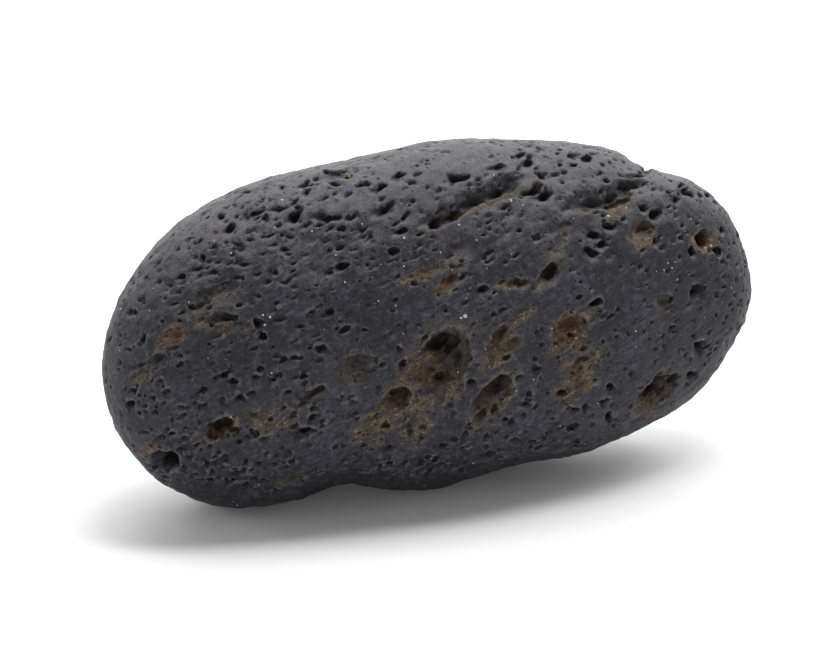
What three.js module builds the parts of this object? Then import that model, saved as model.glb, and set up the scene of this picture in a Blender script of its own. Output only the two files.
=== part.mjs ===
// A water-worn cobble of vesicular lava, one solid stone.
// It stands on the small flat worn on its underside: +X runs along its length, +Z is up,
// and the origin is on the ground under the middle of its box.
import * as THREE from "three";
import { mergeVertices } from "three/addons/utils/BufferGeometryUtils.js";

// Driving dimensions, in millimetres and degrees.
// The broad face leans back and turns a little to the left: these point its outward normal.
const FACE_AZIMUTH = -17.5;
const FACE_ELEVATION = 16;
// The outline of the stone seen square on to its broad face, anticlockwise from the right end.
const OUTLINE = [
  [49.5, 3.1],
  [48.2, 11],
  [45.2, 17],
  [39.7, 21],
  [33, 22.3],
  [28.8, 24.6],
  [20.4, 25.9],
  [9.1, 26],
  [0, 25.2],
  [-8.9, 22.8],
  [-17.7, 20.8],
  [-25.4, 18.3],
  [-34.3, 12.6],
  [-39.9, 5.3],
  [-43.1, -3.8],
  [-42.6, -12.5],
  [-38.5, -19.7],
  [-31, -24.9],
  [-23.5, -26.1],
  [-16.7, -24.9],
  [-10.9, -22.9],
  [-5, -23.9],
  [2, -24.2],
  [7, -23],
  [12.1, -21.2],
  [22.5, -19.4],
  [31.7, -16],
  [39.9, -11.9],
  [45.8, -4.7],
];
// The plain oval that the outline settles into towards the middle of each broad face.
const OVAL_HALF_LENGTH = 48.5;
const OVAL_HALF_WIDTH = 24.5;
const OVAL_TILT = 10.5;
// How far each broad face swells from the rim, and how full that swell is (2 is an ellipse).
const FRONT_SWELL = 20.5;
const BACK_SWELL = 19.5;
const FULLNESS = 2.25;
// How quickly the rim's notches fade towards the middle of a face.
const RIM_FADE = 3;
// Broad low lumps on both faces: height, wavelength, direction across the face, phase.
const LUMPS = [
  { height: 0.5, wavelength: 46, direction: 35, phase: 0.6 },
  { height: 0.3, wavelength: 31, direction: 110, phase: 2.1 },
  { height: 0.2, wavelength: 19, direction: -20, phase: 4.4 },
];
// The thickness worn off the underside to make the flat that the stone stands on.
const WORN_OFF = 1.5;
// Splits along each edge of the icosahedron that the stone is shaped from.
const EDGE_SPLITS = 16;

const STONE_COLOUR = 0x3d3c40;
const STONE_ROUGHNESS = 0.85;

const OUTLINE_SAMPLES = 720;
const radians = THREE.MathUtils.degToRad;

// The outline as a function of the angle round the middle of the face.
function outlineRadius() {
  const corners = OUTLINE.map(([right, up]) => new THREE.Vector3(right, up, 0));
  const curve = new THREE.CatmullRomCurve3(corners, true, "centripetal");
  const samples = curve
    .getPoints(OUTLINE_SAMPLES)
    .slice(0, OUTLINE_SAMPLES)
    .map((p) => ({ angle: Math.atan2(p.y, p.x), radius: Math.hypot(p.x, p.y) }))
    .sort((a, b) => a.angle - b.angle);
  return (angle) => {
    const found = samples.findIndex((s) => s.angle > angle);
    const after = samples[found < 0 ? 0 : found];
    const before = samples.at(found < 0 ? -1 : found - 1);
    const turn = 2 * Math.PI;
    const gap = (after.angle - before.angle + turn) % turn;
    const share = ((angle - before.angle + turn) % turn) / gap;
    return THREE.MathUtils.lerp(before.radius, after.radius, share);
  };
}

function ovalRadius(angle) {
  const turned = angle - radians(OVAL_TILT);
  return 1 / Math.hypot(Math.cos(turned) / OVAL_HALF_LENGTH, Math.sin(turned) / OVAL_HALF_WIDTH);
}

// Height of the low lumps at a place on the face.
function lumpHeight(right, up) {
  return LUMPS.reduce((sum, { height, wavelength, direction, phase }) => {
    const along = right * Math.cos(radians(direction)) + up * Math.sin(radians(direction));
    return sum + height * Math.sin((2 * Math.PI * along) / wavelength + phase);
  }, 0);
}

// Moves a point of the unit sphere, whose +Z faces the viewer, onto the stone in face coordinates.
function shapeStone(point, rimRadius) {
  const angle = Math.atan2(point.y, point.x);
  const share = Math.hypot(point.x, point.y) ** (2 / FULLNESS);
  const rise = Math.abs(point.z) ** (2 / FULLNESS);
  const radius = THREE.MathUtils.lerp(ovalRadius(angle), rimRadius(angle), share ** RIM_FADE);
  const right = share * radius * Math.cos(angle);
  const up = share * radius * Math.sin(angle);
  const swell = point.z > 0 ? FRONT_SWELL : -BACK_SWELL;
  return point.set(right, up, rise * (swell + lumpHeight(right, up)));
}

// Face coordinates to the standing stone. The skew lays the stone's length along +X.
function standingFrame() {
  const azimuth = radians(FACE_AZIMUTH);
  const elevation = radians(FACE_ELEVATION);
  const right = new THREE.Vector3(Math.cos(azimuth), Math.sin(azimuth), 0);
  const outward = new THREE.Vector3(
    Math.sin(azimuth) * Math.cos(elevation),
    -Math.cos(azimuth) * Math.cos(elevation),
    Math.sin(elevation),
  );
  const up = new THREE.Vector3().crossVectors(outward, right);
  const lengthwise = right.clone().addScaledVector(outward, Math.tan(azimuth));
  return new THREE.Matrix4().makeBasis(lengthwise, up, outward);
}

function stoneGeometry() {
  const sphere = new THREE.IcosahedronGeometry(1, EDGE_SPLITS - 1);
  sphere.deleteAttribute("normal");
  sphere.deleteAttribute("uv");
  const geometry = mergeVertices(sphere);
  const places = geometry.getAttribute("position");
  const rimRadius = outlineRadius();
  const point = new THREE.Vector3();
  for (let i = 0; i < places.count; i++) {
    shapeStone(point.fromBufferAttribute(places, i), rimRadius);
    places.setXYZ(i, point.x, point.y, point.z);
  }
  geometry.applyMatrix4(standingFrame());
  geometry.computeBoundingBox();
  const { min, max } = geometry.boundingBox;
  geometry.translate(-(min.x + max.x) / 2, -(min.y + max.y) / 2, -min.z - WORN_OFF);
  for (let i = 0; i < places.count; i++) {
    places.setZ(i, Math.max(places.getZ(i), 0));
  }
  geometry.computeVertexNormals();
  return geometry;
}

const stone = new THREE.Mesh(
  stoneGeometry(),
  new THREE.MeshStandardMaterial({ color: STONE_COLOUR, roughness: STONE_ROUGHNESS, metalness: 0 }),
);
stone.name = "stone";

const lavaRock = new THREE.Group();
lavaRock.add(stone);

export default lavaRock;
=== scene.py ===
"""A water-worn cobble of vesicular lava on a pale floor.

Shapes are worked out in millimetres and written to the meshes in metres.
"""

from itertools import product
from typing import NamedTuple

import bmesh
import bpy
import numpy as np
from mathutils import Matrix, Vector
from mathutils.bvhtree import BVHTree


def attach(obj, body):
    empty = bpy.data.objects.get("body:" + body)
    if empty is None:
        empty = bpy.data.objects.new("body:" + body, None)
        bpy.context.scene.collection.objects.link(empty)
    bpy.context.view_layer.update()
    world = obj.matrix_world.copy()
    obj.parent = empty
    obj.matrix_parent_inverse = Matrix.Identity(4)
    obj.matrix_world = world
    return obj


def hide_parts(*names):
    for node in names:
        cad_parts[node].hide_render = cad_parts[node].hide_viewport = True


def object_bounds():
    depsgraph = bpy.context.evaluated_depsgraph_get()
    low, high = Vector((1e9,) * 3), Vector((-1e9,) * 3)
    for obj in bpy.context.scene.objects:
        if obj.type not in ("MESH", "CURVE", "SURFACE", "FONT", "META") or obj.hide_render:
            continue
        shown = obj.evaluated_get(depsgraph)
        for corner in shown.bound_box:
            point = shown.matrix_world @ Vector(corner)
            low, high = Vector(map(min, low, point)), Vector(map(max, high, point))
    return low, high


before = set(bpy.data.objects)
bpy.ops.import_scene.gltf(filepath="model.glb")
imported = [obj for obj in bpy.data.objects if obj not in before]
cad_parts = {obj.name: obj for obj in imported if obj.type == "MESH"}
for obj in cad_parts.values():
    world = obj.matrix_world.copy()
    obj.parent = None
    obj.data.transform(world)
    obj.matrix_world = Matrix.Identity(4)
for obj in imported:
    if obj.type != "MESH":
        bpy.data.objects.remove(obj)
CAD_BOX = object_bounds()
MM = 0.001
TINY = 1e-9

# The photograph's frame, and the camera that took it.
PHOTO_SIZE = (830, 651)
PIXELS_PER_MM = 7.0
CAMERA_AZIMUTH = np.radians(-17.5)
CAMERA_ELEVATION = np.radians(16.0)
CAMERA_DISTANCE = 330.0
CAMERA_TARGET = np.array([-3.7, 0.6, 22.15])
SENSOR_WIDTH = 36.0
CLIP_START = 10.0
CAMERA_RIGHT = np.array([np.cos(CAMERA_AZIMUTH), np.sin(CAMERA_AZIMUTH), 0.0])
AWAY = np.array([-np.sin(CAMERA_AZIMUTH), np.cos(CAMERA_AZIMUTH), 0.0])
OVERHEAD = np.array([0.0, 0.0, 1.0])
CAMERA_BACK = np.sin(CAMERA_ELEVATION) * OVERHEAD - np.cos(CAMERA_ELEVATION) * AWAY
CAMERA_UP = np.cross(CAMERA_BACK, CAMERA_RIGHT)
CAMERA_PLACE = CAMERA_TARGET + CAMERA_DISTANCE * CAMERA_BACK

# The lava's flow: it rises to the right across the broad face, and runs a little into it.
FLOW_RISE = np.radians(31.0)
FLOW_DIP = np.radians(28.0)
FLOW_FLAT = np.cos(FLOW_RISE) * CAMERA_RIGHT + np.sin(FLOW_RISE) * CAMERA_UP
FLOW = np.cos(FLOW_DIP) * FLOW_FLAT - np.sin(FLOW_DIP) * CAMERA_BACK

# Fineness of the stone's surface, in millimetres, the triangles it ends with, and where they are spared.
ROUNDING_SPACING = 0.4
ROUNDING_PASSES = 16
FINE_SPACING = 0.18
EVEN_PASSES = 4
MOST_TRIANGLES = 196_000
SEEN_COST = 1e-5
SPARE_UNSEEN = 1.0
SPARE_SEEN = 0.5


class Hollow(NamedTuple):
    """One scoop-shaped hollow: its middle in the photograph, its size and turn as seen, and its stain.

    Head and lip say how far its deepest place lies towards its upper end and its upper side, out of 1.
    Bites is how many smaller hollows break its rim. A stain over 1 is orange.
    """

    x: float
    y: float
    length: float
    width: float
    depth: float
    angle: float = 28.0
    lip: float = 0.25
    head: float = 0.45
    stain: float = 0.0
    bites: int = 6


HOLLOWS = [
    # The two long gouges near the top edge, deepest along their lower side, with ochre ledges below.
    Hollow(454, 209, 9.5, 2.8, 2.3, angle=30, lip=-0.45, head=-0.1, stain=0.3, bites=3),
    Hollow(494, 188, 9.5, 2.8, 2.6, angle=25, lip=-0.45, head=0.1, stain=0.2, bites=3),
    Hollow(474, 199, 8.0, 2.6, 2.3, angle=28, lip=-0.45, head=0.0, stain=0.2, bites=2),
    Hollow(442, 219, 5.0, 1.7, 2.2, angle=32, lip=-0.2, head=-0.3, stain=0.9, bites=2),
    Hollow(489, 204, 12.0, 1.5, 0.5, angle=25, lip=0.0, stain=1.0, bites=2),
    Hollow(594, 200, 9.0, 2.8, 2.3, angle=22, lip=-0.45, head=0.0, stain=0.3, bites=3),
    Hollow(628, 185, 8.0, 2.4, 2.2, angle=23, lip=-0.45, head=0.0, stain=0.3, bites=3),
    Hollow(611, 193, 7.0, 2.6, 2.3, angle=23, lip=-0.45, head=0.0, stain=0.3, bites=2),
    Hollow(604, 205, 8.5, 1.2, 1.8, angle=21, lip=-0.2, head=0.2, stain=0.9, bites=2),
    Hollow(617, 209, 5.5, 2.4, 0.6, angle=32, lip=0.3, stain=1.05, bites=3),
    Hollow(630, 176, 5.5, 1.0, 0.9, angle=20, stain=0.9, bites=1),
    Hollow(646, 170, 3.0, 1.6, 1.4, angle=40, lip=0.0, stain=0.5, bites=2),
    # The big hollow in the middle, its small arch, and the pits at its foot.
    Hollow(429, 376, 15.5, 8.6, 3.3, angle=48, lip=0.0, head=0.55, stain=0.95),
    Hollow(445, 358, 7.4, 3.8, 3.9, angle=55, lip=-0.1, head=0.45, stain=0.8),
    Hollow(444, 379, 3.0, 2.0, 2.8, angle=20, lip=0.5, head=0.0, stain=0.5),
    Hollow(394, 404, 6.0, 3.2, 2.6, angle=28, head=0.5, stain=1.0),
    Hollow(372, 428, 6.0, 3.6, 0.8, angle=30, stain=0.8),
    Hollow(416, 434, 5.0, 4.0, 0.8, angle=50, stain=0.7),
    # Right of the middle.
    Hollow(569, 333, 6.4, 5.0, 2.1, angle=50, head=0.45, stain=1.2),
    Hollow(577, 379, 8.0, 5.4, 0.9, angle=65, stain=1.0),
    Hollow(589, 319, 5.0, 3.0, 0.5, angle=30, stain=0.8),
    Hollow(490, 403, 9.0, 4.0, 3.3, angle=52, head=0.6, stain=1.0),
    Hollow(499, 348, 7.5, 3.4, 1.9, angle=60, head=0.6, stain=0.95),
    Hollow(521, 320, 6.0, 3.0, 0.6, angle=30, stain=0.7),
    Hollow(549, 276, 5.0, 3.0, 2.7, angle=40, lip=0.3, stain=0.85),
    Hollow(513, 283, 5.0, 1.8, 1.2, angle=8, lip=0.3, stain=0.95),
    Hollow(556, 249, 5.5, 2.4, 0.7, angle=55, stain=0.75),
    Hollow(561, 231, 3.6, 2.6, 0.9, angle=20),
    Hollow(655, 396, 8.0, 4.2, 4.0, angle=46, lip=0.2, head=0.2, stain=0.9),
    Hollow(705, 240, 3.6, 3.4, 3.6, angle=10, lip=0.4, head=0.0, stain=1.3, bites=0),
    Hollow(644, 233, 5.0, 4.2, 1.7, angle=55, head=0.5, stain=0.95),
    Hollow(657, 244, 2.2, 1.3, 1.3, angle=60, stain=0.5, bites=1),
    Hollow(665, 305, 3.4, 2.6, 1.1, angle=60, stain=0.6),
    # Upper middle, a rusty patch of small hollows.
    Hollow(424, 273, 6.5, 2.0, 0.7, angle=25, stain=1.0),
    Hollow(450, 283, 4.6, 1.9, 1.3, angle=40, stain=1.1),
    Hollow(450, 255, 6.0, 2.6, 0.9, angle=32, stain=0.65),
    # Left half.
    Hollow(212, 300, 9.5, 3.6, 1.0, angle=28, stain=0.5),
    Hollow(209, 296, 2.0, 1.3, 1.2, angle=30, stain=0.7),
    Hollow(216, 322, 6.4, 1.7, 1.5, angle=9, lip=0.3, stain=0.8),
    Hollow(194, 311, 5.0, 1.3, 1.2, angle=33, stain=0.7),
    Hollow(230, 330, 5.5, 1.8, 0.5, angle=16, stain=0.75),
    Hollow(174, 337, 3.8, 2.6, 0.9, angle=35, stain=1.15),
    Hollow(154, 362, 4.6, 2.0, 1.7, angle=24, lip=0.35, stain=0.6),
    Hollow(141, 376, 3.0, 2.2, 0.7, angle=30, stain=0.7),
    Hollow(220, 431, 6.2, 2.4, 2.9, angle=38, lip=0.2, head=0.2, stain=1.1),
    Hollow(164, 461, 4.2, 3.0, 3.4, angle=8, lip=0.1, head=0.1, stain=0.2, bites=1),
    Hollow(147, 451, 2.6, 1.5, 0.5, angle=20, stain=1.1, bites=1),
    Hollow(292, 480, 3.4, 2.2, 1.3, angle=20, stain=0.85),
    Hollow(356, 370, 6.0, 4.4, 1.5, angle=15, lip=0.4, head=0.2, stain=0.65),
    Hollow(313, 397, 4.6, 1.8, 1.5, angle=40, lip=0.4, stain=0.6),
    Hollow(262, 416, 5.0, 2.4, 0.6, angle=20, stain=0.7),
    Hollow(284, 424, 5.0, 2.4, 0.8, angle=30, stain=0.7),
    Hollow(334, 177, 4.6, 2.0, 1.0, angle=15, lip=0.2, head=0.0, stain=0.3),
]


# A pit's depth out of its width.
PIT_DEPTH = 1.35


def pit(x, y, length, width, angle=28.0):
    """A small dark pit, steep at its upper end."""
    return Hollow(x, y, length, width, PIT_DEPTH * width, angle, lip=0.3, head=0.4, bites=1)


PITS = [
    # Upper left, short slits along the flow.
    pit(302, 184, 1.8, 1.0), pit(305, 193, 2.2, 0.9, angle=40), pit(290, 202, 1.7, 0.7, angle=20),
    pit(244, 195, 1.5, 0.8), pit(220, 217, 1.0, 0.9), pit(228, 229, 2.5, 1.1, angle=25),
    pit(249, 215, 4.4, 0.9, angle=23), pit(275, 208, 3.2, 0.7, angle=15), pit(262, 218, 1.1, 0.8),
    pit(293, 217, 3.0, 2.0, angle=35), pit(278, 222, 1.5, 0.8, angle=25), pit(322, 221, 4.2, 1.3, angle=8),
    pit(334, 220, 1.8, 1.1, angle=30), pit(383, 210, 4.2, 1.5, angle=33), pit(378, 188, 2.7, 1.0),
    pit(399, 177, 2.7, 1.0, angle=25), pit(405, 218, 2.4, 1.0, angle=40),
    pit(399, 231, 2.4, 1.5, angle=35), pit(394, 253, 1.9, 1.4, angle=30), pit(362, 230, 2.5, 0.8),
    pit(368, 239, 1.3, 0.7), pit(349, 218, 2.4, 0.7, angle=25), pit(339, 230, 1.7, 0.9, angle=25),
    pit(328, 251, 1.3, 0.9), pit(340, 266, 2.6, 1.6, angle=25), pit(327, 273, 2.0, 1.0, angle=30),
    pit(272, 246, 1.6, 1.0, angle=25), pit(283, 249, 1.7, 1.1, angle=30),
    pit(286, 254, 1.3, 0.7, angle=15), pit(235, 243, 1.6, 1.0, angle=25), pit(194, 248, 1.0, 0.8),
    pit(205, 256, 1.5, 1.0), pit(199, 268, 2.2, 0.8, angle=32), pit(182, 276, 1.7, 1.1, angle=20),
    pit(212, 273, 1.7, 0.9, angle=25), pit(234, 278, 2.4, 0.9, angle=15), pit(240, 264, 2.8, 0.9, angle=8),
    pit(257, 275, 1.1, 0.7), pit(272, 272, 2.0, 1.0, angle=10), pit(270, 281, 1.2, 0.9),
    pit(287, 281, 2.6, 0.8, angle=50), pit(282, 282, 1.7, 0.7, angle=-40), pit(270, 234, 2.5, 0.8),
    pit(250, 238, 1.5, 0.7, angle=18), pit(290, 235, 1.1, 0.8), pit(303, 227, 1.7, 0.8, angle=10),
    pit(328, 172, 1.8, 0.9, angle=15), pit(331, 182, 2.8, 0.9, angle=-5),
    pit(344, 177, 2.0, 0.9, angle=10), pit(312, 315, 1.7, 1.2, angle=45), pit(328, 315, 1.5, 1.2),
    pit(257, 325, 2.0, 1.7, angle=120), pit(278, 320, 2.4, 0.8, angle=25), pit(261, 339, 2.3, 1.4),
    # Lower left.
    pit(320, 349, 1.7, 1.2), pit(238, 402, 1.7, 1.3), pit(255, 378, 1.5, 1.1), pit(233, 383, 1.5, 1.2),
    pit(135, 369, 2.4, 0.9), pit(141, 340, 1.7, 1.1), pit(131, 314, 1.6, 1.0), pit(130, 404, 1.7, 1.3),
    pit(157, 438, 1.9, 0.9, angle=15), pit(170, 434, 2.0, 0.9, angle=20), pit(181, 453, 1.5, 1.2),
    pit(253, 485, 1.8, 1.1), pit(311, 470, 2.2, 0.8, angle=20), pit(318, 392, 2.2, 1.2, angle=50),
    pit(305, 406, 2.8, 0.9, angle=30), pit(302, 433, 2.6, 1.6, angle=10),
    pit(314, 422, 2.2, 1.4, angle=30), pit(291, 421, 2.2, 0.8, angle=30),
    # Upper right.
    pit(527, 193, 4.4, 1.3, angle=31), pit(540, 196, 3.5, 1.9, angle=22),
    pit(457, 179, 3.2, 1.6, angle=18), pit(495, 169, 4.6, 0.8, angle=4), pit(520, 157, 1.9, 1.1, angle=15),
    pit(528, 166, 2.3, 1.2, angle=10), pit(586, 160, 1.7, 1.0, angle=0), pit(572, 166, 1.0, 0.8),
    pit(564, 173, 1.3, 0.9), pit(541, 178, 1.3, 1.0), pit(655, 213, 2.2, 1.9, angle=40),
    pit(643, 207, 1.8, 1.4), pit(687, 193, 2.6, 1.4, angle=-20), pit(675, 201, 1.5, 1.1),
    pit(682, 186, 1.2, 0.9), pit(707, 196, 1.5, 1.2), pit(723, 229, 1.5, 1.3), pit(692, 254, 1.7, 1.5),
    pit(716, 253, 1.6, 1.4), pit(608, 227, 2.6, 1.5, angle=20), pit(600, 244, 2.2, 1.5, angle=35),
    pit(591, 252, 1.9, 1.4), pit(594, 235, 1.8, 1.4), pit(482, 290, 2.4, 1.5, angle=40),
    pit(465, 277, 2.6, 0.9, angle=50),
    # Middle and lower right.
    pit(596, 305, 2.6, 1.6, angle=40), pit(570, 339, 1.6, 1.2), pit(402, 366, 1.3, 1.2),
    pit(474, 386, 1.7, 1.4), pit(560, 394, 1.8, 1.3, angle=10), pit(571, 412, 1.9, 1.3, angle=10),
    pit(530, 394, 1.8, 1.2, angle=50), pit(524, 404, 2.8, 1.1, angle=-5),
    pit(610, 390, 1.7, 1.2, angle=40), pit(606, 403, 1.5, 1.2, angle=45), pit(610, 420, 1.7, 1.4),
    pit(530, 445, 1.7, 1.3), pit(567, 445, 5.0, 1.2, angle=20), pit(486, 456, 3.2, 1.5, angle=25),
    pit(697, 295, 3.2, 1.8, angle=75), pit(692, 377, 2.6, 1.9, angle=40),
    pit(702, 345, 2.4, 1.8, angle=60), pit(672, 330, 1.7, 1.2, angle=60),
]

# The black hole low on the left, and the dark heads of the larger hollows.
DARK_HEADS = [
    Hollow(167, 462, 3.4, 2.6, 5.0, angle=8, lip=-0.1, head=0.2, stain=0.3, bites=0),
    Hollow(445, 346, 6.4, 3.2, 4.4, angle=12, lip=0.1, head=0.0, stain=0.6, bites=2),
    Hollow(656, 394, 4.6, 3.0, 4.2, angle=46, lip=0.1, head=0.1, stain=0.6, bites=1),
    Hollow(459, 360, 4.4, 2.0, 2.4, angle=100, lip=-0.3, head=0.2, stain=0.5, bites=2),
]

# Small round pits of the lower half, by their places in the photograph.
SMALL_PITS = [
    # Lower left.
    (173, 306), (127, 350), (173, 350), (180, 356), (158, 383), (133, 390), (166, 391), (167, 404),
    (182, 405), (156, 414), (183, 414), (203, 393), (222, 376), (262, 370), (277, 375), (273, 381),
    (221, 404), (250, 396), (288, 394), (283, 412), (205, 408), (144, 435), (164, 431), (183, 438),
    (190, 460), (182, 468), (207, 466), (222, 461), (212, 474), (210, 484), (245, 464), (244, 470),
    (252, 471), (259, 465), (237, 474), (232, 481), (244, 488), (265, 485), (275, 490), (272, 466),
    (266, 455), (264, 440), (291, 461), (289, 453), (195, 448), (208, 452), (155, 469), (193, 477),
    (255, 433), (239, 444), (294, 340), (284, 356), (294, 357), (306, 383),
    # Lower middle.
    (344, 401), (353, 406), (404, 408), (364, 447), (387, 450), (341, 462), (379, 460), (389, 464),
    (380, 468), (410, 430), (411, 436), (424, 432), (441, 448), (435, 462), (445, 466), (452, 469),
    (458, 474), (430, 473), (420, 473), (410, 475), (397, 475), (405, 465), (422, 465), (428, 459),
    (467, 428), (469, 433), (465, 439), (486, 438), (497, 460),
    # Lower right.
    (504, 422), (509, 423), (507, 439), (515, 444), (545, 442), (550, 436), (561, 431), (571, 428),
    (555, 424), (584, 409), (524, 417), (615, 427), (596, 442), (537, 372), (519, 378), (526, 399),
    (613, 390), (577, 362),
]
SMALL_PIT_LENGTH = (1.0, 1.7)
SMALL_PIT_WIDTH = (0.70, 1.05)
SMALL_PIT_SEED = 31

# Hollows and pits on the unseen sides: how many, how far they turn from the flow, how far they face away
# from the camera, and half the size of a box that holds the stone.
UNSEEN_HOLLOWS = 46
UNSEEN_HOLLOW_SEED = 11
UNSEEN_PITS = 260
UNSEEN_PIT_SEED = 12
UNSEEN_TURN = 0.25
UNSEEN_FACING = -0.15
HALF_BOX = np.array([55.0, 30.0, 30.0])


class Patch(NamedTuple):
    """A part of the broad face where one kind of pore lies thickly: its middle and its reach in mm."""

    x: float
    y: float
    reach: float


SLIT_PATCHES = [
    Patch(300, 215, 12.0), Patch(370, 240, 12.0), Patch(240, 262, 9.0), Patch(455, 300, 9.0),
]
ROUND_PATCHES = [
    Patch(700, 275, 11.0), Patch(640, 205, 10.0), Patch(520, 165, 10.0), Patch(600, 420, 8.0),
    Patch(430, 462, 9.0), Patch(340, 462, 8.0), Patch(225, 465, 8.0),
]


class Bubbles(NamedTuple):
    """One kind of gas bubble: least and most width, spacing, stretch along the flow and share filled.

    Ragged says how far its edges are pushed about, in millimetres. Channel picks its random numbers.
    """

    kind: str
    least: float
    most: float
    spacing: float
    stretch: float
    share: float
    ragged: float
    channel: int


BUBBLES = [
    Bubbles("slit", least=0.5, most=1.0, spacing=1.6, stretch=2.8, share=0.75, ragged=0.16, channel=10),
    Bubbles("slit", least=0.35, most=0.65, spacing=1.0, stretch=3.0, share=0.95, ragged=0.12, channel=20),
    Bubbles("round", least=0.8, most=1.5, spacing=2.7, stretch=1.5, share=0.35, ragged=0.34, channel=30),
    Bubbles("round", least=0.5, most=0.9, spacing=1.3, stretch=1.6, share=0.75, ragged=0.22, channel=40),
    Bubbles("pinhole", least=0.4, most=0.7, spacing=0.85, stretch=1.5, share=0.55, ragged=0.14, channel=50),
]
BUBBLE_FADE = 0.15
BUBBLE_WARP_WAVELENGTH = 1.1

# How thickly bubbles lie away from their patches, out of 1, and how unevenly.
SLIT_SHARE = 0.30
ROUND_SHARE = 0.40
PINHOLE_SHARE = 0.70
SHARE_UNEVENNESS = 0.35
SHARE_WAVELENGTH = 8.0

# Smaller hollows that bite into the rim and floor of each larger one.
BITE_SEED = 5
BITE_LENGTH = (0.25, 0.55)
BITE_WIDTH = (0.30, 0.65)
BITE_DEPTH = (0.25, 0.60)
BITE_PLACE = (0.2, 0.9)
BITE_TURN = 18.0

# A scoop's reach out of its longer side, the powers of its steep wall and its ramp, how its stain spreads
# along and across it and falls off, and what counts as facing the camera.
SCOOP_REACH = 0.8
WALL_POWER = 2.5
RAMP_POWER = 1.4
STAIN_SPREAD = (1.3, 1.05)
STAIN_FALL = 1.2
LEAST_FACING = 0.35
FULLY_FACING = 0.3

# The relief, in millimetres: ragged rims, swells, streaks in the hollows, scratches and grit.
WARP_WAVELENGTH = 2.4
WARP_HEIGHT = 0.9
SWELL_WAVELENGTH = 11.0
SWELL_HEIGHT = 0.45
STREAK_STRETCH = 7.0
STREAK_WAVELENGTH = 1.1
STREAK_HEIGHT = 0.45
STREAK_START = (0.05, 0.8)
SCRATCH_STRETCH = 5.0
SCRATCH_WAVELENGTH = 1.0
SCRATCH_HEIGHT = 0.14
ROUGH_WAVELENGTH = 1.6
ROUGH_HEIGHT = 0.18

# Passes of softening: of the rims, around worn edges, and of steepness and stain.
RIM_WEAR_PASSES = 1
WORN_PASSES = 5
SOFT_PASSES = 2


def unit(vectors):
    return vectors / np.linalg.norm(vectors, axis=-1, keepdims=True)


def smoothstep(low, high, values):
    share = np.clip((values - low) / (high - low), 0.0, 1.0)
    return share * share * (3.0 - 2.0 * share)


PRIMES = np.array([73856093, 19349663, 83492791], np.uint32)


def scrambled(mixed):
    """A fixed pseudo-random number from 0 to 1 for each whole number."""
    for shift, factor in ((16, 0x7FEB352D), (15, 0x846CA68B)):
        mixed ^= mixed >> np.uint32(shift)
        mixed *= np.uint32(factor)
    mixed ^= mixed >> np.uint32(16)
    return mixed / 2.0**32


def salt(channel):
    return np.uint32(channel * 2654435761 % 2**32)


def cell_random(cells, channel):
    """A fixed pseudo-random number from 0 to 1 for each whole-number cell."""
    mixed = np.bitwise_xor.reduce(cells.astype(np.uint32) * PRIMES, axis=1)
    return scrambled(mixed + salt(channel))


def noise(points, wavelength, channel):
    """Smooth noise from -1 to 1 with features about one wavelength across."""
    places = points / wavelength
    corner = np.floor(places)
    share = places - corner
    share = share * share * (3.0 - 2.0 * share)
    near = corner.astype(np.int64).astype(np.uint32) * PRIMES
    sides = (((1.0 - share).T, near.T), (share.T, (near + PRIMES).T))
    total = np.zeros(len(points))
    for x, y, z in product((0, 1), repeat=3):
        weight = sides[x][0][0] * sides[y][0][1] * sides[z][0][2]
        mixed = sides[x][1][0] ^ sides[y][1][1] ^ sides[z][1][2]
        total += weight * scrambled(mixed + salt(channel))
    return 2.0 * total - 1.0


def layered_noise(points, wavelength, channel, layers=3):
    """Noise with finer, weaker layers on top, still about -1 to 1."""
    total = np.zeros(len(points))
    weight = 1.0
    for layer in range(layers):
        total += weight * noise(points, wavelength / 2.0**layer, channel + layer)
        weight *= 0.5
    return total / (2.0 - 2.0 * weight)


def along_flow(points, stretch):
    """Points shortened along the flow, so that what is even in them is stretched in the stone."""
    return points - np.outer(points @ FLOW, FLOW) * (1.0 - 1.0 / stretch)


def fetched(items, name, width=3, kind=float):
    """One value of each of a mesh's items, as the rows of an array."""
    values = np.empty(len(items) * width, kind)
    items.foreach_get(name, values)
    return values.reshape(-1, width)


class Surface:
    """The stone's mesh as arrays, in millimetres."""

    def __init__(self, mesh):
        self.mesh = mesh
        self.points = fetched(mesh.vertices, "co") / MM
        self.edges = fetched(mesh.edges, "vertices", 2, np.int64)
        self.neighbours = np.bincount(self.edges.ravel(), minlength=len(self.points))

    def normals(self):
        self.write()
        return fetched(self.mesh.vertex_normals, "vector")

    def write(self):
        self.mesh.vertices.foreach_set("co", (self.points * MM).ravel())
        self.mesh.update()

    def averaged(self, values):
        """Each value replaced by the mean of its neighbours'."""
        first, second = self.edges.T
        columns = []
        for column in values.reshape(len(values), -1).T:
            total = np.bincount(first, column[second], minlength=len(values))
            total += np.bincount(second, column[first], minlength=len(values))
            columns.append(total / self.neighbours)
        return np.stack(columns, axis=1).reshape(values.shape)

    def softened(self, values, passes):
        for _ in range(passes):
            values = 0.5 * values + 0.5 * self.averaged(values)
        return values


def added(name, data):
    """A new object in the scene."""
    piece = bpy.data.objects.new(name, data)
    bpy.context.scene.collection.objects.link(piece)
    return piece


def made_of(name, corners, faces):
    """A new piece from its corners in metres and its faces."""
    mesh = bpy.data.meshes.new(name)
    mesh.from_pydata(corners, [], faces)
    return added(name, mesh)


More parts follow.
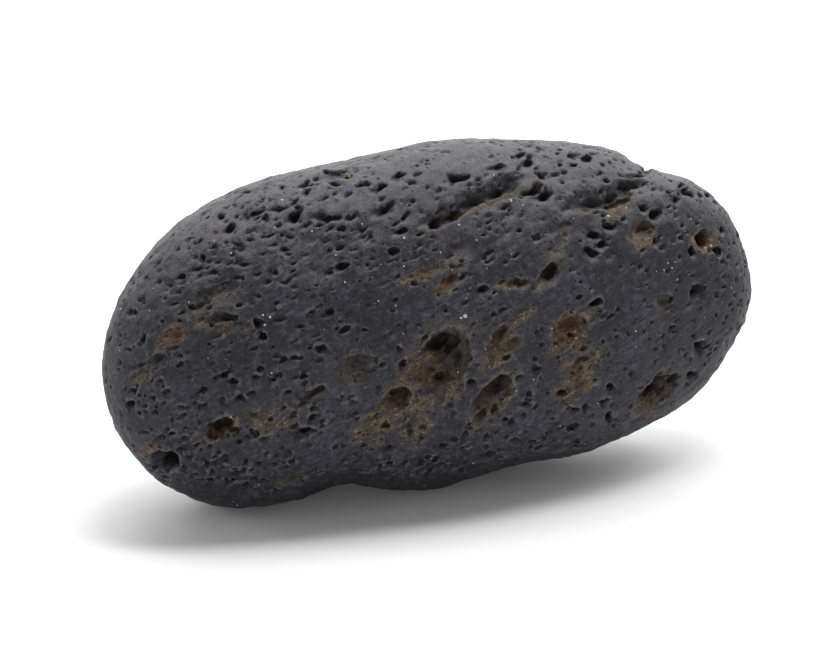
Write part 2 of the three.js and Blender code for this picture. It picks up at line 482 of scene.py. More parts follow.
def fine_form(node):
    """An even, fine, rounded copy of the solid's surface."""
    stone = added("lava_stone", node.data.copy())
    for spacing, passes in ((ROUNDING_SPACING, ROUNDING_PASSES), (FINE_SPACING, EVEN_PASSES)):
        even = stone.modifiers.new("even", "REMESH")
        even.mode = "VOXEL"
        even.voxel_size = spacing * MM
        rounded = stone.modifiers.new("rounded", "SMOOTH")
        rounded.iterations = passes
    apply_modifiers(stone)
    return stone


def apply_modifiers(piece):
    depsgraph = bpy.context.evaluated_depsgraph_get()
    made = bpy.data.meshes.new_from_object(piece.evaluated_get(depsgraph))
    piece.modifiers.clear()
    piece.data = made
    made.name = piece.name


def hit(tree, start, direction):
    """Where a ray meets the stone, in millimetres, and the outward normal there."""
    place, normal, _, _ = tree.ray_cast(Vector(start * MM), Vector(direction))
    return (np.array(place) / MM, np.array(normal)) if place is not None else None


def seen_at(tree, mark):
    """Where a mark in the photograph lies on the stone, in millimetres, and the outward normal there."""
    right = (mark.x - PHOTO_SIZE[0] / 2) / PIXELS_PER_MM
    up = (PHOTO_SIZE[1] / 2 - mark.y) / PIXELS_PER_MM
    direction = unit(right * CAMERA_RIGHT + up * CAMERA_UP - CAMERA_DISTANCE * CAMERA_BACK)
    return hit(tree, CAMERA_PLACE, direction)


def lie_on(normal, direction):
    """The direction laid flat on a surface with this normal."""
    return unit(direction - normal * (direction @ normal))


class Scoop(NamedTuple):
    """A hollow laid on the stone: its middle, its two directions, how far it reaches, and its size."""

    middle: np.ndarray
    along: np.ndarray
    across: np.ndarray
    reach: float
    hollow: Hollow

    def spots(self, points):
        """Points along and across the scoop, in millimetres."""
        away = points - self.middle
        return np.stack([away @ self.along, away @ self.across], axis=1)

    def cut(self, spots):
        """Depth at each spot: a steep wall at the head and under the lip, a long ramp away from them."""
        shares = spots / (self.hollow.length / 2, self.hollow.width / 2)
        deepest = np.array([self.hollow.head, self.hollow.lip])
        away = shares - deepest
        square = (away**2).sum(axis=1)
        lead = away @ deepest
        room = lead**2 + square * (1.0 - deepest @ deepest)
        rim = np.minimum(square / (np.sqrt(room) - lead + TINY), 1.0)
        towards = lead / (np.sqrt(square * (deepest @ deepest)) + TINY)
        steep = 0.5 + 0.5 * towards
        wall = steep * (1.0 - rim**WALL_POWER)
        ramp = (1.0 - steep) * (1.0 - rim) ** RAMP_POWER
        return self.hollow.depth * (wall + ramp)


def ragged_scoops(place, normal, along, across, hollow, rng):
    """One hollow's scoop, with smaller ones that bite into its rim and floor."""
    sight = np.cross(along, across)
    facing = max(sight @ normal, LEAST_FACING)
    reach = SCOOP_REACH * max(hollow.length, hollow.width) / facing
    made = [Scoop(place, along, across, reach, hollow)]
    for _ in range(hollow.bites):
        angle = rng.uniform(0.0, 2.0 * np.pi)
        share = rng.uniform(*BITE_PLACE) / 2.0
        turn = np.radians(rng.normal(scale=BITE_TURN))
        step = share * (hollow.length * np.cos(angle) * along + hollow.width * np.sin(angle) * across)
        bite = hollow._replace(
            length=hollow.length * rng.uniform(*BITE_LENGTH),
            width=hollow.width * rng.uniform(*BITE_WIDTH),
            depth=hollow.depth * rng.uniform(*BITE_DEPTH),
        )
        spot = place + step - sight * (step @ normal) / facing
        turned = np.cos(turn) * along + np.sin(turn) * across
        made.append(Scoop(spot, turned, np.cross(sight, turned), reach, bite))
    return made


def small_pits():
    """The small round pits, each of a slightly different size."""
    rng = np.random.default_rng(SMALL_PIT_SEED)
    return [pit(x, y, rng.uniform(*SMALL_PIT_LENGTH), rng.uniform(*SMALL_PIT_WIDTH)) for x, y in SMALL_PITS]


def seen_scoops(tree):
    """The hollows of the broad face, put where the photograph shows them and as large as it shows them."""
    rng = np.random.default_rng(BITE_SEED)
    made = []
    for hollow in HOLLOWS + PITS + DARK_HEADS + small_pits():
        place, normal = seen_at(tree, hollow)
        angle = np.radians(hollow.angle)
        along = np.cos(angle) * CAMERA_RIGHT + np.sin(angle) * CAMERA_UP
        made += ragged_scoops(place, normal, along, np.cross(CAMERA_BACK, along), hollow, rng)
    return made


def unseen_scoops(tree, middle, kinds, wanted, seed):
    """Hollows of the same kinds on the back, the ends and the underside."""
    rng = np.random.default_rng(seed)
    made = []
    count = 0
    while count < wanted:
        outward = unit(rng.normal(size=3))
        like = kinds[rng.integers(len(kinds))]
        turn = rng.normal(scale=UNSEEN_TURN)
        if outward @ CAMERA_BACK > UNSEEN_FACING:
            continue
        spread = outward * HALF_BOX
        found = hit(tree, middle + 2 * spread, unit(-spread))
        if found is None:
            continue
        place, normal = found
        along = lie_on(normal, FLOW + turn * np.cross(normal, FLOW))
        made += ragged_scoops(place, normal, along, np.cross(normal, along), like, rng)
        count += 1
    return made


def far_wall(spots, ways, radius):
    """Distance against ways from spots inside a ball to its far side, and 0 outside it."""
    square = np.einsum("ij,ij->i", spots, spots)
    lead = np.einsum("ij,ij->i", spots, ways)
    pace = np.einsum("ij,ij->i", ways, ways)
    room = lead * lead + pace * (radius * radius - square)
    depth = (lead + np.sqrt(np.maximum(room, 0.0))) / pace
    return np.where(square < radius * radius, np.maximum(depth, 0.0), 0.0)


def pushes(points, wavelength, channel, layers):
    """How each point is pushed about, out of 1, so that the edges of what is cut there are ragged."""
    axes = [layered_noise(points, wavelength, channel + 10 * axis, layers) for axis in range(3)]
    return np.stack(axes, axis=1)


class Nearby:
    """Finds the points within reach of a place, from a list sorted along X."""

    def __init__(self, points):
        self.points = points
        self.order = np.argsort(points[:, 0])
        self.sorted_x = points[self.order, 0]

    def within(self, place, reach):
        low, high = np.searchsorted(self.sorted_x, (place[0] - reach, place[0] + reach))
        found = self.order[low:high]
        away = self.points[found] - place
        return found[(away**2).sum(axis=1) < reach**2]


def carve_hollows(surface, scoops):
    """Cuts the hollows, streaked along their floors. Returns how steep and how stained they are."""
    normals = surface.normals()
    ragged = surface.points + WARP_HEIGHT * pushes(surface.points, WARP_WAVELENGTH, channel=100, layers=3)
    nearby = Nearby(ragged)
    depth, steep, stain = np.zeros((3, len(ragged)))
    for scoop in scoops:
        near = nearby.within(scoop.middle, scoop.reach)
        spots = scoop.spots(ragged[near])
        cut = scoop.cut(spots)
        streaked = cut + floor_streaks(spots) * smoothstep(*STREAK_START, cut)
        depth[near] = np.maximum(depth[near], streaked)
        size = np.array([scoop.hollow.length, scoop.hollow.width]) / 2
        steep[near] = np.maximum(steep[near], cut / size[1])
        closeness = np.exp(-STAIN_FALL * ((spots / (size * STAIN_SPREAD)) ** 2).sum(axis=1))
        stain[near] = np.maximum(stain[near], scoop.hollow.stain * closeness)
    facing = smoothstep(0.0, FULLY_FACING, normals @ CAMERA_BACK)
    surface.points -= unit(normals + np.outer(facing, CAMERA_BACK)) * depth[:, None]
    return steep, stain


def floor_streaks(spots):
    """Ridges and grooves along a scoop, in millimetres."""
    lengths = np.column_stack([spots / (STREAK_STRETCH, 1.0), np.zeros(len(spots))])
    return STREAK_HEIGHT * layered_noise(lengths, STREAK_WAVELENGTH, channel=200, layers=2)


def patch_field(points, tree, patches):
    """How near each point is to the patches, from 0 to 1. The back mirrors the front."""
    behind = np.minimum((points - points.mean(axis=0)) @ CAMERA_BACK, 0.0)
    facing = points - 2.0 * np.outer(behind, CAMERA_BACK)
    field = np.zeros(len(points))
    for patch in patches:
        place, _ = seen_at(tree, patch)
        square = ((facing - place) ** 2).sum(axis=1)
        field = np.maximum(field, np.exp(-square / patch.reach**2))
    return field


def bubble_shares(points, tree):
    """How thickly each kind of bubble lies at each point."""
    uneven = SHARE_UNEVENNESS * layered_noise(points, SHARE_WAVELENGTH, channel=300, layers=2)
    slits = patch_field(points, tree, SLIT_PATCHES)
    rounds = patch_field(points, tree, ROUND_PATCHES)
    return {
        "slit": SLIT_SHARE + (1.0 - SLIT_SHARE) * slits + uneven,
        "round": ROUND_SHARE + (1.0 - ROUND_SHARE) * rounds + uneven,
        "pinhole": PINHOLE_SHARE - uneven,
    }


def bubble_depth(points, normals, bubbles, share):
    """How deep the bubbles of one size cut below each point, along its normal."""
    spots = along_flow(points, bubbles.stretch) / bubbles.spacing
    ways = along_flow(normals, bubbles.stretch) / bubbles.spacing
    corner = np.floor(spots - 0.5).astype(np.int64)
    depth = np.zeros(len(points))
    for step in product((0, 1), repeat=3):
        cells = corner + step
        randoms = [cell_random(cells, bubbles.channel + k) for k in range(5)]
        middles = cells + np.stack(randoms[:3], axis=1)
        widths = bubbles.least + (bubbles.most - bubbles.least) * randoms[3]
        widths *= smoothstep(0.0, BUBBLE_FADE, bubbles.share * share - randoms[4])
        radii = widths / 2 / bubbles.spacing
        away = spots - middles
        inside = np.nonzero((away**2).sum(axis=1) < radii**2)[0]
        cut = far_wall(away[inside], ways[inside], radii[inside])
        depth[inside] = np.maximum(depth[inside], cut)
    return depth


def carve_bubbles(surface, shares):
    """Cuts open the bubbles that the worn surface meets. Returns their depth."""
    normals = surface.normals()
    ragged = pushes(surface.points, BUBBLE_WARP_WAVELENGTH, channel=600, layers=2)
    depth = np.zeros(len(ragged))
    for bubbles in BUBBLES:
        points = surface.points + bubbles.ragged * ragged
        depth = np.maximum(depth, bubble_depth(points, normals, bubbles, shares[bubbles.kind]))
    surface.points -= normals * depth[:, None]
    return depth


def roughen(surface):
    """Raises grit all over, and scratches along the flow."""
    rough = ROUGH_HEIGHT * layered_noise(surface.points, ROUGH_WAVELENGTH, channel=500)
    stretched = along_flow(surface.points, SCRATCH_STRETCH)
    rough += SCRATCH_HEIGHT * layered_noise(stretched, SCRATCH_WAVELENGTH, channel=550, layers=2)
    surface.points += surface.normals() * rough[:, None]


def worn_edges(surface):
    """How far each point stands proud of those around it, in millimetres."""
    around = surface.softened(surface.points, WORN_PASSES)
    return ((surface.points - around) * surface.normals()).sum(axis=1)


def carve(stone):
    """Turns the plain form into the pitted stone."""
    surface = Surface(stone.data)
    form = surface.points.copy()
    tree = BVHTree.FromObject(stone, bpy.context.evaluated_depsgraph_get())
    middle = form.mean(axis=0)
    scoops = seen_scoops(tree)
    scoops += unseen_scoops(tree, middle, HOLLOWS, UNSEEN_HOLLOWS, UNSEEN_HOLLOW_SEED)
    scoops += unseen_scoops(tree, middle, PITS + small_pits(), UNSEEN_PITS, UNSEEN_PIT_SEED)
    swell = layered_noise(surface.points, SWELL_WAVELENGTH, channel=400)
    surface.points += surface.normals() * (SWELL_HEIGHT * swell)[:, None]
    steep, stain = carve_hollows(surface, scoops)
    roughen(surface)
    shares = bubble_shares(surface.points, tree)
    pore = carve_bubbles(surface, shares)
    surface.points = surface.softened(surface.points, RIM_WEAR_PASSES)
    surface.points[:, 2] = np.maximum(surface.points[:, 2], 0.0)
    surface.write()
    store(stone.data, "steep", surface.softened(steep, SOFT_PASSES))
    store(stone.data, "pore", pore)
    store(stone.data, "slits", shares["slit"])
    store(stone.data, "stain", surface.softened(stain, SOFT_PASSES))
    store(stone.data, "worn", worn_edges(surface))
    store(stone.data, "form", form * MM)


def store(mesh, name, values):
    """Keeps a number or a vector for each of the mesh's points."""
    kind, field = ("FLOAT", "value") if values.ndim == 1 else ("FLOAT_VECTOR", "vector")
    layer = mesh.attributes.new(name, kind, "POINT")
    layer.data.foreach_set(field, values.astype(np.float32).ravel())


def thin_out(stone):
    """Brings the mesh under its limit, with more of what is left on the side that the photograph shows."""
    mesh = stone.data
    mesh.calc_loop_triangles()
    seen = fetched(mesh.vertex_normals, "vector") @ CAMERA_BACK > 0.0
    spare = stone.vertex_groups.new(name="spare")
    spare.add(np.nonzero(~seen)[0].tolist(), SPARE_UNSEEN, "REPLACE")
    spare.add(np.nonzero(seen)[0].tolist(), SPARE_SEEN, "REPLACE")
    thinner = stone.modifiers.new("thinner", "DECIMATE")
    thinner.ratio = min(1.0, MOST_TRIANGLES / len(mesh.loop_triangles))
    thinner.use_collapse_triangulate = True
    thinner.vertex_group = spare.name
    thinner.vertex_group_factor = SEEN_COST
    apply_modifiers(stone)
    stone.vertex_groups.clear()
    stone.data.shade_smooth()


# The stone's map: its front and its back as two ovals, one above the other.
MAP_MARGIN = 0.96


def half_map(directions, side):
    """An equal-area map of the half that faces along Y, if side is 1, or against it, if -1."""
    facing = np.maximum(1.0 + side * directions[:, 1], 0.5)
    flat = directions[:, (0, 2)] / np.sqrt(facing)[:, None]
    return np.array([0.5, 0.5 + side * 0.25]) + MAP_MARGIN * flat * (0.5, 0.25)


def lay_map(stone):
    """Gives the stone a map of its surface that follows the smooth form and has one seam."""
    mesh = stone.data
    form = fetched(mesh.attributes["form"].data, "vector")
    middle = (form.min(axis=0) + form.max(axis=0)) / 2
    directions = unit((form - middle) / np.ptp(form, axis=0))
    corners = fetched(mesh.loops, "vertex_index", 1, np.int64).ravel()
    sides = np.where(directions[corners, 1].reshape(-1, 3).mean(axis=1) > 0.0, 1, -1)
    back = np.repeat(sides > 0, 3)[:, None]
    places = np.where(back, half_map(directions, 1)[corners], half_map(directions, -1)[corners])
    layer = mesh.uv_layers.new(name="OFBake")
    layer.uv.foreach_set("vector", places.astype(np.float32).ravel())
    mesh.attributes.remove(mesh.attributes["form"])


# Where a noise texture's values usually lie.
NOISE_SPAN = (0.3, 0.7)


class Nodes:
    """Builds the nodes of a material or of the world around the stone."""

    def __init__(self, owner, shader="Principled BSDF"):
        owner.use_nodes = True
        self.owner = owner
        self.tree = owner.node_tree
        self.shader = self.tree.nodes[shader]

    def add(self, kind, inputs=None, **settings):
        node = self.tree.nodes.new(kind)
        for name, value in settings.items():
            setattr(node, name, value)
        for name, value in (inputs or {}).items():
            self.feed(node.inputs[name], value)
        return node

    def feed(self, socket, value):
        if isinstance(value, bpy.types.NodeSocket):
            self.tree.links.new(value, socket)
        else:
            socket.default_value = value

    def attribute(self, name):
        return self.add("ShaderNodeAttribute", attribute_name=name).outputs["Fac"]

    def noise(self, place, wavelength, detail=3.0, roughness=0.55):
        inputs = {"Vector": place, "Scale": 1.0 / (wavelength * MM)}
        inputs |= {"Detail": detail, "Roughness": roughness}
        return self.add("ShaderNodeTexNoise", inputs).outputs["Fac"]

    def reach(self, place, direction):
        """How far each place lies along a direction."""
        inputs = {0: place, 1: direction}
        return self.add("ShaderNodeVectorMath", inputs, operation="DOT_PRODUCT").outputs["Value"]

    def along_flow(self, place, stretch):
        """Places shortened along the flow, so that what is even in them is stretched on the stone."""
        inputs = {0: FLOW * (1.0 - 1.0 / stretch), "Scale": self.reach(place, FLOW)}
        back = self.add("ShaderNodeVectorMath", inputs, operation="SCALE").outputs["Vector"]
        rest = self.add("ShaderNodeVectorMath", {0: place, 1: back}, operation="SUBTRACT")
        return rest.outputs["Vector"]

    def between(self, value, low, high, to_low=0.0, to_high=1.0):
        inputs = {"Value": value, "From Min": low, "From Max": high, "To Min": to_low, "To Max": to_high}
        return self.add("ShaderNodeMapRange", inputs, interpolation_type="SMOOTHSTEP").outputs["Result"]

    def vary(self, noise, to_low, to_high):
        """A noise's usual span turned into another."""
        return self.between(noise, *NOISE_SPAN, to_low, to_high)

    def weighted(self, *terms):
        """The sum of values, each times the weight before it."""
        total = 0.0
        for weight, value in terms:
            total = self.math("ADD", total, self.math("MULTIPLY", value, weight))
        return total

    def math(self, operation, first, second):
        return self.add("ShaderNodeMath", {0: first, 1: second}, operation=operation).outputs[0]

    def mix(self, share, first, second, blend="MIX"):
        """Two colours mixed. Sockets 0, 6, 7 and 2 are the node's share, its colours and its result."""
        inputs = {0: share, 6: first, 7: second}
        return self.add("ShaderNodeMix", inputs, data_type="RGBA", blend_type=blend).outputs[2]

    def bump(self, relief, strength, height):
        """Roughens the shader's normal by a relief whose steps are this many millimetres high."""
        inputs = {"Strength": strength, "Distance": height * MM, "Height": relief}
        self.feed(self.shader.inputs["Normal"], self.add("ShaderNodeBump", inputs).outputs["Normal"])

    def ramp(self, value, *stops):
        node = self.add("ShaderNodeValToRGB", {"Fac": value})
        elements = node.color_ramp.elements
        while len(elements) < len(stops):
            elements.new(1.0)
        for element, (place, colour) in zip(elements, stops):
            element.position = place
            element.color = (*colour, 1.0)
        return node.outputs["Color"]


CHARCOAL_DEEP = (0.0108, 0.0101, 0.0149)
CHARCOAL = (0.0226, 0.0214, 0.0292)
CHARCOAL_PALE = (0.056, 0.0535, 0.068)
# Pale dust for worn edges, and the painted light that makes the top paler.
DUST_AND_TOP_LIGHT = (0.175, 0.169, 0.180, 1.0)
WARM_DUST = (0.060, 0.054, 0.044, 1.0)
# Painted shade colours for deep pores and hollows: near black, and dark brown where rusty.
PORE_PAINTED_SHADE = (0.006, 0.0055, 0.006, 1.0)
RUST_PAINTED_SHADE = (0.010, 0.0060, 0.0045, 1.0)
RUST_DARK = (0.014, 0.009, 0.007)
RUST = (0.042, 0.027, 0.014)
TAN = (0.077, 0.059, 0.038)
OCHRE = (0.165, 0.129, 0.085)
ORANGE = (0.100, 0.043, 0.014, 1.0)
GRIT_SHADE = (0.7, 0.7, 0.7)
WHITE = (1.0, 1.0, 1.0)
STONE_SPECULAR = 0.25
STONE_ROUGHNESS = (0.45, 0.70)

# Wavelengths of the stone's colouring, in millimetres, and how far its streaks are stretched.
BROAD_WAVELENGTH = 14.0
MOTTLE_WAVELENGTH = 1.0
TINT_WAVELENGTH = 0.6
GRIT_WAVELENGTH = 0.25
STAIN_WAVELENGTH = 0.9
TINT_STRETCH = 6.0

# How far dust, painted light on top, rust and painted shade cover what lies under them, out of 1, and the
# stretch of the finest slits.
TOP_LIGHT_AND_DUST = 0.55
EDGE_DUST = 0.38
WARM_SHARE = 0.6
ORANGE_SHARE = 0.6
RUST_EDGE = 0.5
PORE_SHADE = 0.95
FINE_PORE_SHADE = 0.85
FINE_SLIT_STRETCH = 4.0


def lava_grey(n, place, mottle, streaks):
    """Mottled charcoal grey, dusty along worn edges, and paler on top, partly dust and partly painted light
    from above.
    """
    broad = n.noise(place, BROAD_WAVELENGTH)
    tone = n.weighted((0.25, broad), (0.50, mottle), (0.25, streaks))
    grey = n.ramp(tone, (0.39, CHARCOAL_DEEP), (0.50, CHARCOAL), (0.61, CHARCOAL_PALE))
    worn = n.math("ADD", n.attribute("worn"), n.vary(mottle, -0.03, 0.03))
    on_edges = n.between(worn, 0.01, 0.10, 0.0, EDGE_DUST)
    normal = n.add("ShaderNodeNewGeometry").outputs["Normal"]
    up = n.add("ShaderNodeSeparateXYZ", {"Vector": normal}).outputs["Z"]
    # Painted light: faces that point up are painted paler, as if lit from above, mixed with some dust.
    top_light_and_dust = n.math("MULTIPLY", n.between(up, 0.45, 0.95, 0.0, TOP_LIGHT_AND_DUST), n.vary(mottle, 0.5, 1.2))
    return n.mix(n.math("MAXIMUM", on_edges, top_light_and_dust), grey, DUST_AND_TOP_LIGHT)


def lava_rust(n, mottle, streaks, grit):
    """Rust and clay: painted darker brown in the steep, deep ends as painted shade, streaked tan and ochre
    on the ramps, orange in places.
    """
    tone = n.weighted((0.5, mottle), (0.5, streaks), (1.0, n.vary(grit, -0.06, 0.06)))
    # Painted shade: the rust is painted darker where the hollows are steep and deep.
    tone = n.math("SUBTRACT", tone, n.between(n.attribute("steep"), 0.3, 1.2, -0.02, 0.20))
    rust = n.ramp(tone, (0.34, RUST_DARK), (0.45, RUST), (0.55, TAN), (0.66, OCHRE))
    rust = n.mix(n.between(n.attribute("worn"), 0.0, 0.08, 0.0, RUST_EDGE), rust, (*OCHRE, 1.0))
    return n.mix(n.between(n.attribute("stain"), 0.75, 1.1, 0.0, ORANGE_SHARE), rust, ORANGE)


def fine_pores(n, place, spacing, radius, left_out):
    """Pores too small for the mesh, from 0 on the surface to 1 in the hole."""
    cells = n.add("ShaderNodeTexVoronoi", {"Vector": place, "Scale": 1.0 / (spacing * MM)})
    size = n.add("ShaderNodeSeparateColor", {"Color": cells.outputs["Color"]}).outputs["Red"]
    size = n.between(size, left_out, 1.0, 0.0, radius / spacing)
    inside = n.math("SUBTRACT", size, cells.outputs["Distance"])
    return n.between(inside, -0.02, 0.08)


def fine_holes(n, place):
    """Round fine pores all over, and slits where the slit patches are."""
    rounds = fine_pores(n, place, spacing=0.8, radius=0.28, left_out=0.40)
    stretched = n.along_flow(place, FINE_SLIT_STRETCH)
    slits = fine_pores(n, stretched, spacing=0.75, radius=0.20, left_out=0.35)
    slits = n.math("MULTIPLY", slits, n.between(n.attribute("slits"), 0.35, 0.75))
    return n.math("MAXIMUM", rounds, slits)


def painted_shade(n, holes):
    """Painted shade: how dark a place is painted for lying deep in a pore or a hollow, from 0 to 1."""
    in_pores = n.between(n.attribute("pore"), 0.05, 0.42, 0.0, PORE_SHADE)
    in_holes = n.math("MULTIPLY", holes, FINE_PORE_SHADE)
    in_hollows = n.between(n.attribute("steep"), 0.7, 1.9, 0.0, PORE_SHADE)
    return n.math("MAXIMUM", n.math("MAXIMUM", in_pores, in_holes), in_hollows)


def stone_colour(n, place, mottle, streaks, grit, holes):
    """Grey lava with rust where the hollows hold it, specked by grit, with painted shade in the pores and
    hollows.
    """
    patchy = n.noise(n.along_flow(place, TINT_STRETCH), STAIN_WAVELENGTH, detail=5.0, roughness=0.7)
    spread = n.math("MULTIPLY", n.attribute("stain"), n.between(patchy, 0.35, 0.65, 0.25, 1.6))
    warm = n.between(spread, 0.10, 0.60, 0.0, WARM_SHARE)
    rusty = n.between(spread, 0.30, 0.70)
    colour = n.mix(warm, lava_grey(n, place, mottle, streaks), WARM_DUST)
    colour = n.mix(rusty, colour, lava_rust(n, mottle, streaks, grit))
    colour = n.mix(1.0, colour, n.ramp(grit, (0.35, GRIT_SHADE), (0.60, WHITE)), blend="MULTIPLY")
    # Painted shade: the pores, fine holes and steep hollows are painted near black, or dark brown where
    # rusty.
    return n.mix(painted_shade(n, holes), colour, n.mix(rusty, PORE_PAINTED_SHADE, RUST_PAINTED_SHADE))


def stone_material():
    """Dark grey lava: mottled, dusty and matt, with fine pores, painted paler on top and painted dark in
    pores and hollows.
    """
    n = Nodes(bpy.data.materials.new("lava"))
    place = n.add("ShaderNodeTexCoord").outputs["Object"]
    mottle = n.noise(place, MOTTLE_WAVELENGTH, detail=5.0, roughness=0.68)
    streaks = n.noise(n.along_flow(place, TINT_STRETCH), TINT_WAVELENGTH)
    grit = n.noise(place, GRIT_WAVELENGTH, detail=2.0)
    holes = fine_holes(n, place)
    n.feed(n.shader.inputs["Base Color"], stone_colour(n, place, mottle, streaks, grit, holes))
    n.feed(n.shader.inputs["Roughness"], n.vary(mottle, *STONE_ROUGHNESS))
    n.shader.inputs["Specular IOR Level"].default_value = STONE_SPECULAR
    relief = n.weighted((0.35, grit), (1.2, mottle), (0.6, streaks), (-1.0, holes))
    n.bump(relief, strength=0.6, height=0.25)
    return n.owner


def make_stone():
    stone = fine_form(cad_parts["stone"])
    carve(stone)
    thin_out(stone)
    lay_map(stone)
    stone.data.materials.clear()
    stone.data.materials.append(stone_material())
    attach(stone, "root")
    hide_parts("stone")
    return stone


class Grain(NamedTuple):
    """A sand grain that shows in the photograph: its place, its width and how orange it is."""

    x: float
    y: float
    width: float = 0.40
    tint: float = 0.05


GRAINS = [
    Grain(511, 200, 0.8, 0.15), Grain(282, 200, 0.55), Grain(465, 316, 0.8, 0.3),
    Grain(461, 318, 0.5, 0.2), Grain(350, 177, 1.0, 0.95), Grain(346, 174, 0.6, 0.6),
    Grain(705, 248, 0.8, 1.0), Grain(711, 246, 0.6, 0.7), Grain(608, 216, 0.7, 0.4),
    Grain(626, 208, 0.5, 0.45), Grain(312, 231), Grain(404, 266, 0.35, 0.1),
    Grain(494, 175, 0.35, 0.1), Grain(231, 417, 0.4, 0.15), Grain(318, 471, 0.35, 0.1),
    Grain(301, 190, 0.35), Grain(263, 315, 0.45), Grain(270, 317, 0.45), Grain(265, 325),
    Grain(362, 224), Grain(404, 238, 0.45), Grain(275, 227), Grain(231, 253), Grain(345, 282),
    Grain(406, 157), Grain(459, 225), Grain(668, 263, 0.35), Grain(672, 268), Grain(664, 270, 0.3),
    Grain(675, 262, 0.3),
]

# Loose grains: number, widths, the beta shape of their tints, and how far out their rays start.
LOOSE_GRAINS = 240
LOOSE_GRAIN_WIDTH = (0.14, 0.34)
LOOSE_GRAIN_TINT = (0.7, 3.0)
LOOSE_GRAIN_START = np.array([160.0, 80.0, 80.0])
GRAIN_SEED = 23

# How uneven a grain is at its corners and along its sides, and how deep it sits, out of its width.
GRAIN_LUMPS = (0.7, 1.2)
GRAIN_SIDES = (0.7, 1.1)
GRAIN_SUNK = 0.125
SAND_CLEAR = (0.42, 0.41, 0.42)
SAND_OCHRE = (0.40, 0.32, 0.20)
SAND_ORANGE = (0.45, 0.20, 0.06)
SAND_ROUGHNESS = (0.2, 0.45)


def grain_material():
    """Sand: pale clear grains, some stained ochre and orange."""
    n = Nodes(bpy.data.materials.new("sand"))
    place = n.add("ShaderNodeTexCoord").outputs["Object"]
    tint = n.weighted((1.0, n.attribute("tint")), (0.2, n.noise(place, wavelength=0.3)))
    colour = n.ramp(tint, (0.1, SAND_CLEAR), (0.5, SAND_OCHRE), (1.0, SAND_ORANGE))
    n.feed(n.shader.inputs["Base Color"], colour)
    n.feed(n.shader.inputs["Roughness"], n.vary(n.noise(place, wavelength=0.2), *SAND_ROUGHNESS))
    n.bump(n.noise(place, wavelength=0.15), strength=0.4, height=0.05)
    return n.owner


def grain_shape():
    """The corners and faces of a rough ball of width 1."""
    ball = bmesh.new()
    bmesh.ops.create_icosphere(ball, subdivisions=1, radius=0.5)
    corners = np.array([corner.co for corner in ball.verts])
    faces = np.array([[corner.index for corner in face.verts] for face in ball.faces])
    ball.free()
    return corners, faces


def grain_places(stone, rng):
    """Where the grains lie: those that the photograph shows, and small ones all round."""
    tree = BVHTree.FromObject(stone, bpy.context.evaluated_depsgraph_get())
    middle = (np.array(CAD_BOX[0]) + np.array(CAD_BOX[1])) / 2 / MM
    for grain in GRAINS:
        place, normal = seen_at(tree, grain)
        yield place, normal, grain.width, grain.tint
    for _ in range(LOOSE_GRAINS):
        start = unit(rng.normal(size=3)) * LOOSE_GRAIN_START
        width = rng.uniform(*LOOSE_GRAIN_WIDTH)
        tint = rng.beta(*LOOSE_GRAIN_TINT)
        found = hit(tree, middle + start, -unit(start))
        if found is not None:
            yield *found, width, tint


def make_grains(stone):
    """Sand grains lodged in the stone's pores, as one mesh."""
    rng = np.random.default_rng(GRAIN_SEED)
    ball, ball_faces = grain_shape()
    corners, faces, tints = [], [], []
    for place, normal, width, tint in grain_places(stone, rng):
        lumpy = ball * rng.uniform(*GRAIN_LUMPS, size=(len(ball), 1)) * rng.uniform(*GRAIN_SIDES, size=3)
        turned = lumpy @ np.linalg.qr(rng.normal(size=(3, 3)))[0]
        faces.append(ball_faces + len(ball) * len(corners))
        corners.append(place + width * (turned - GRAIN_SUNK * normal))
        tints.append(np.full(len(ball), tint))
    corners = np.concatenate(corners)
    corners[:, 2] = np.maximum(corners[:, 2], 0.0)
    grains = made_of("sand_grains", (corners * MM).tolist(), np.concatenate(faces).tolist())
    store(grains.data, "tint", np.concatenate(tints))
    grains.data.materials.append(grain_material())
    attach(grains, "root")


FLOOR_SIZE = 6.0
FLOOR_COLOUR = (0.83, 0.83, 0.835, 1.0)
FLOOR_ROUGHNESS = 0.6


def make_floor():
    half = FLOOR_SIZE / 2
    corners = [(-half, -half, 0.0), (half, -half, 0.0), (half, half, 0.0), (-half, half, 0.0)]
    floor = made_of("floor", corners, [(0, 1, 2, 3)])
    n = Nodes(bpy.data.materials.new("floor"))
    n.shader.inputs["Base Color"].default_value = FLOOR_COLOUR
    n.shader.inputs["Roughness"].default_value = FLOOR_ROUGHNESS
    floor.data.materials.append(n.owner)


def aim(thing, place, target, right):
    """Puts a camera or light at a place in millimetres, looking at another, level with right."""
    back = unit(place - target)
    right = lie_on(back, right)
    turned = Matrix(np.stack([right, np.cross(back, right), back], axis=1)).to_4x4()
    thing.matrix_world = Matrix.Translation(Vector(place * MM)) @ turned


def make_camera():
    lens = bpy.data.cameras.new("camera")
    lens.sensor_width = SENSOR_WIDTH
    lens.lens = SENSOR_WIDTH * CAMERA_DISTANCE * PIXELS_PER_MM / PHOTO_SIZE[0]
    lens.clip_start = CLIP_START * MM
    camera = added("camera", lens)
    aim(camera, CAMERA_PLACE, CAMERA_TARGET, CAMERA_RIGHT)
    bpy.context.scene.camera = camera


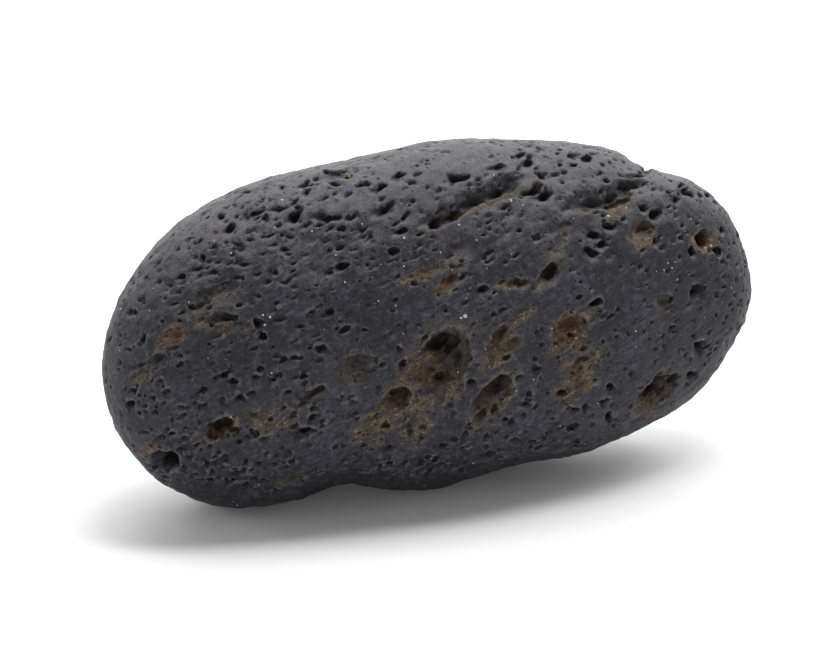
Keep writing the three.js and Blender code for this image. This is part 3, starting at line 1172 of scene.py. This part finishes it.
# The light: softboxes at a rise above the ground and a turn from straight behind the stone, towards the
# camera's right, in a room that is bright low behind the stone and dim on the camera's side.
SOFTBOX_DISTANCE = 3000.0
ROOM_BRIGHTEST = 0.3 * OVERHEAD + AWAY
ROOM_DIM_UNTIL = 0.35
ROOM_BRIGHT = 2.4
ROOM_DIM = 0.34


class Softbox(NamedTuple):
    """One softbox: its direction in degrees, its size in millimetres and its power in watts."""

    rise: float
    turn: float
    length: float
    width: float
    power: float


SOFTBOXES = {
    "key": Softbox(rise=72.0, turn=-20.0, length=1500.0, width=600.0, power=20.0),
    "top": Softbox(rise=75.0, turn=55.0, length=1500.0, width=600.0, power=42.0),
    "right": Softbox(rise=44.0, turn=58.0, length=1200.0, width=900.0, power=30.0),
    "left": Softbox(rise=14.0, turn=-80.0, length=1200.0, width=900.0, power=22.0),
    "front": Softbox(rise=10.0, turn=-170.0, length=1500.0, width=900.0, power=24.0),
}


def make_softbox(name, softbox):
    lamp = bpy.data.lights.new(name, "AREA")
    lamp.shape = "RECTANGLE"
    lamp.size = softbox.length * MM
    lamp.size_y = softbox.width * MM
    lamp.energy = softbox.power
    piece = added(name, lamp)
    rise, turn = np.radians(softbox.rise), np.radians(softbox.turn)
    level = np.cos(turn) * AWAY + np.sin(turn) * CAMERA_RIGHT
    direction = np.sin(rise) * OVERHEAD + np.cos(rise) * level
    aim(piece, CAMERA_TARGET + SOFTBOX_DISTANCE * direction, CAMERA_TARGET, CAMERA_RIGHT)


def make_room():
    """White surroundings that are brightest low behind the stone."""
    world = bpy.data.worlds.new("room")
    bpy.context.scene.world = world
    n = Nodes(world, shader="Background")
    facing = n.reach(n.add("ShaderNodeTexCoord").outputs["Generated"], unit(ROOM_BRIGHTEST))
    n.feed(n.shader.inputs["Strength"], n.between(facing, ROOM_DIM_UNTIL, 1.0, ROOM_DIM, ROOM_BRIGHT))
    n.shader.inputs["Color"].default_value = (*WHITE, 1.0)


def make_light():
    for name, softbox in SOFTBOXES.items():
        make_softbox(name, softbox)
    make_room()
    bpy.context.scene.view_settings.view_transform = "Standard"


make_camera()
make_grains(make_stone())
make_floor()
make_light()
